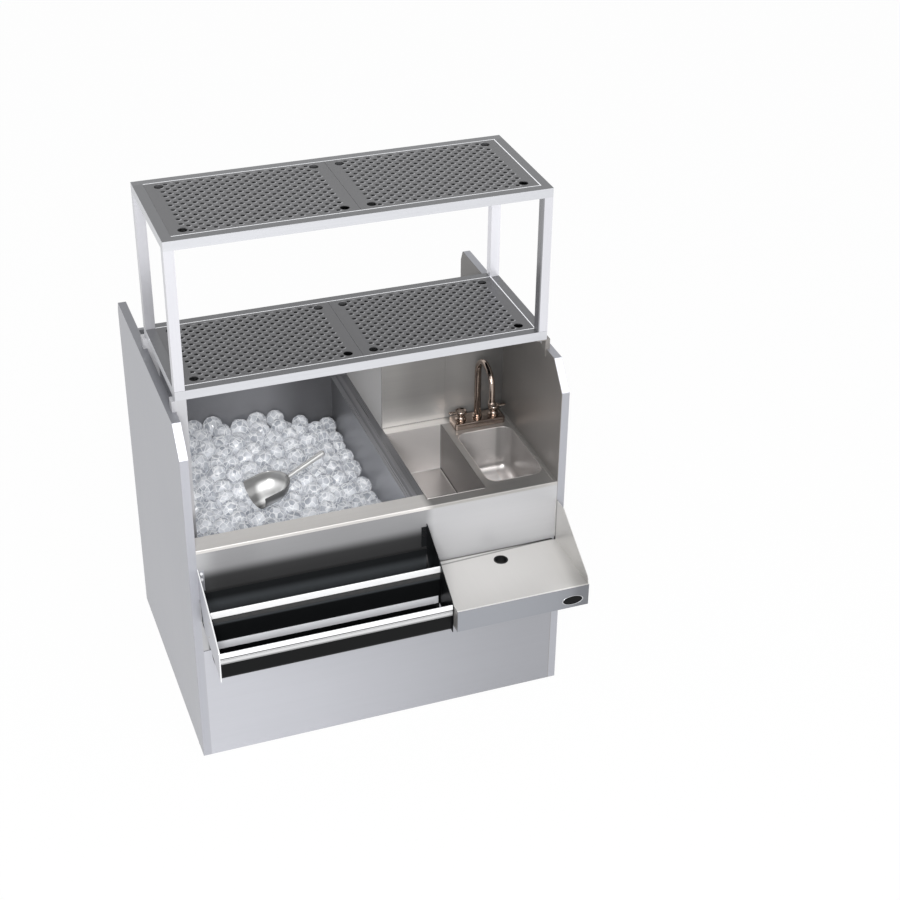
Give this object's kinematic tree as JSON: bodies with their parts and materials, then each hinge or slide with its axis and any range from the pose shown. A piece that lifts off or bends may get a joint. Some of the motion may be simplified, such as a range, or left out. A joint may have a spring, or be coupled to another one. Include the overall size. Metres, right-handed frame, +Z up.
{
  "type": "underbar cocktail station with ice bin",
  "caption": "Stainless underbar cocktail station: insulated ice bin, sunken well and hand sink behind a bottle rail and drainboard, under a perforated over-shelf.",
  "frame": {"origin": "on the floor, under the middle of the overall box", "axes": "+X to the right seen from the bartender's side, +Y from the bottle rail to the back, +Z up"},
  "size_m": [1.067, 1.022, 1.53],
  "materials": {
    "panel_steel": "fine brushed stainless sheet, cool grey",
    "worktop_steel": "fine brushed stainless sheet, slightly warm",
    "bin_steel": "satin stainless liner",
    "frame_steel": "plain mill finish, hidden",
    "shelf_steel": "bright brushed square tube",
    "pan_steel": "dull drip pan under the inserts",
    "insert_steel": "satin perforated sheet",
    "rail_dark": "dark polished trough, near black with soft grey bands",
    "cheek_steel": "bright brushed end plate",
    "polished_steel": "polished lip and screw heads",
    "faucet_chrome": "polished, with warm reflections",
    "drain_steel": "turned stainless fitting",
    "tail_chrome": "plated tube",
    "shank_brass": "bare threaded brass",
    "foam": "cut rigid foam, sealed inside",
    "outlet_rubber": "black outlet sleeve",
    "badge_plastic": "plain dark oval with a light rim",
    "ice_core": "packed ice under the top layer",
    "ice": "clear lumps of ice",
    "scoop_metal": "polished cast scoop"
  },
  "bodies": {
    "station": {"left_side_panel": "panel_steel", "right_side_panel": "panel_steel", "lower_front_panel": "panel_steel", "back_panel": "panel_steel", "right_side_liner": "panel_steel", "left_side_liner": "panel_steel", "worktop": "worktop_steel", "front_apron": "worktop_steel", "backsplash": "worktop_steel", "chase_side_wall": "worktop_steel", "chase_cover": "worktop_steel", "well_pan": "worktop_steel", "sink_bowl": "worktop_steel", "drainboard": "worktop_steel", "bin_liner": "bin_steel", "bin_partition": "bin_steel", "front_sill": "frame_steel", "front_cross_rail": "frame_steel", "bin_cross_rails": "frame_steel", "deck_rear_channel": "frame_steel", "bin_base_sheet": "frame_steel", "board_brackets": "frame_steel", "left_shelf_legs": "shelf_steel", "right_shelf_brackets": "shelf_steel", "lower_shelf_frame": "shelf_steel", "upper_shelf_frame": "shelf_steel", "front_left_post": "shelf_steel", "front_right_post": "shelf_steel", "rear_left_post": "shelf_steel", "rear_right_post": "shelf_steel", "lower_drip_pan": "pan_steel", "upper_drip_pan": "pan_steel", "rail_right_cheek": "rail_dark", "upper_trough": "rail_dark", "lower_trough": "rail_dark", "rail_left_cheek": "cheek_steel", "upper_lip": "polished_steel", "lower_lip": "polished_steel", "rail_screws": "polished_steel", "faucet_plate": "faucet_chrome", "sink_strainer": "drain_steel", "bin_drain": "drain_steel", "levelling_feet": "drain_steel", "sink_tailpiece": "tail_chrome", "supply_shanks": "shank_brass", "shank_nuts": "shank_brass", "bin_insulation": "foam", "board_outlet": "outlet_rubber", "oval_badge": "badge_plastic", "ice_bed": "ice_core", "ice_balls": "ice"},
    "spout": {"faucet_spout": "faucet_chrome", "spout_aerator": "faucet_chrome"},
    "hot_lever": {"hot_handle": "faucet_chrome"},
    "cold_lever": {"cold_handle": "faucet_chrome"},
    "lower_left_plate": {"lower_left_insert": "insert_steel"},
    "lower_right_plate": {"lower_right_insert": "insert_steel"},
    "upper_left_plate": {"upper_left_insert": "insert_steel"},
    "upper_right_plate": {"upper_right_insert": "insert_steel"},
    "ice_scoop": {"scoop": "scoop_metal"}
  },
  "joints": [
    {"name": "spout_swivel", "type": "hinge", "parent": "station", "child": "spout", "pos_m": [0.414, 0.104, 0.72], "axis": [0, 0, 1], "range_deg": [-100, 47]},
    {"name": "hot_turn", "type": "hinge", "parent": "station", "child": "hot_lever", "pos_m": [0.3632, 0.104, 0.72], "axis": [0, 0, 1], "range_deg": [0, 90]},
    {"name": "cold_turn", "type": "hinge", "parent": "station", "child": "cold_lever", "pos_m": [0.4648, 0.104, 0.72], "axis": [0, 0, 1], "range_deg": [-90, 0]},
    {"name": "lower_left_lift", "type": "slide", "parent": "station", "child": "lower_left_plate", "axis": [0, 0, 1], "range_m": [0, 0.2]},
    {"name": "lower_right_lift", "type": "slide", "parent": "station", "child": "lower_right_plate", "axis": [0, 0, 1], "range_m": [0, 0.2]},
    {"name": "upper_left_lift", "type": "slide", "parent": "station", "child": "upper_left_plate", "axis": [0, 0, 1], "range_m": [0, 0.2]},
    {"name": "upper_right_lift", "type": "slide", "parent": "station", "child": "upper_right_plate", "axis": [0, 0, 1], "range_m": [0, 0.2]},
    {"name": "scoop_lift", "type": "slide", "parent": "station", "child": "ice_scoop", "axis": [0, 0, 1], "range_m": [0, 0.25]}
  ]
}
